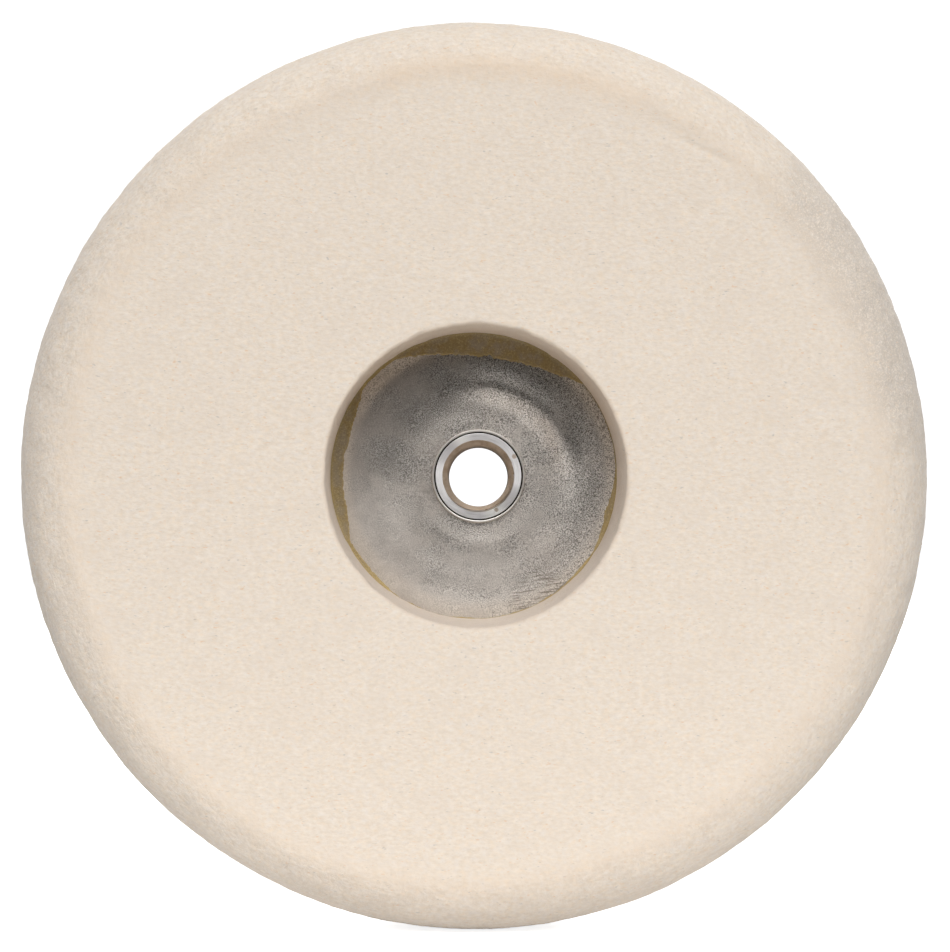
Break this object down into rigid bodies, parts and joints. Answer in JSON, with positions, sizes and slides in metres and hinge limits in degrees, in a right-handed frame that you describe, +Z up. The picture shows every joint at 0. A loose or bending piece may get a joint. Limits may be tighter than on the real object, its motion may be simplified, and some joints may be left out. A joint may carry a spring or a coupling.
{
  "type": "felt polishing wheel",
  "caption": "Thick wool felt polishing wheel with a rounded shoulder, bonded to a dished steel backing plate with a threaded hexagonal spindle hub for an angle polisher.",
  "frame": {"origin": "centre of the wheel's overall box, on the spindle axis: midway between the polishing face and the hub's spindle seat", "axes": "the wheel spins about Y: +Y points out of the hub's spindle seat towards the machine, -Y out of the polishing face towards the work, +Z is up"},
  "size_m": [0.17, 0.0454, 0.17],
  "materials": {
    "wool_felt": "matte",
    "cured_adhesive": "satin",
    "pressed_steel": "matte",
    "turned_steel": "satin",
    "weld_steel": "matte"
  },
  "bodies": {
    "root": {"felt_ring": "wool_felt", "adhesive_bond": "cured_adhesive", "backing_plate": "pressed_steel", "threaded_hub": "turned_steel", "hub_weld_beads": "weld_steel"}
  },
  "joints": []
}
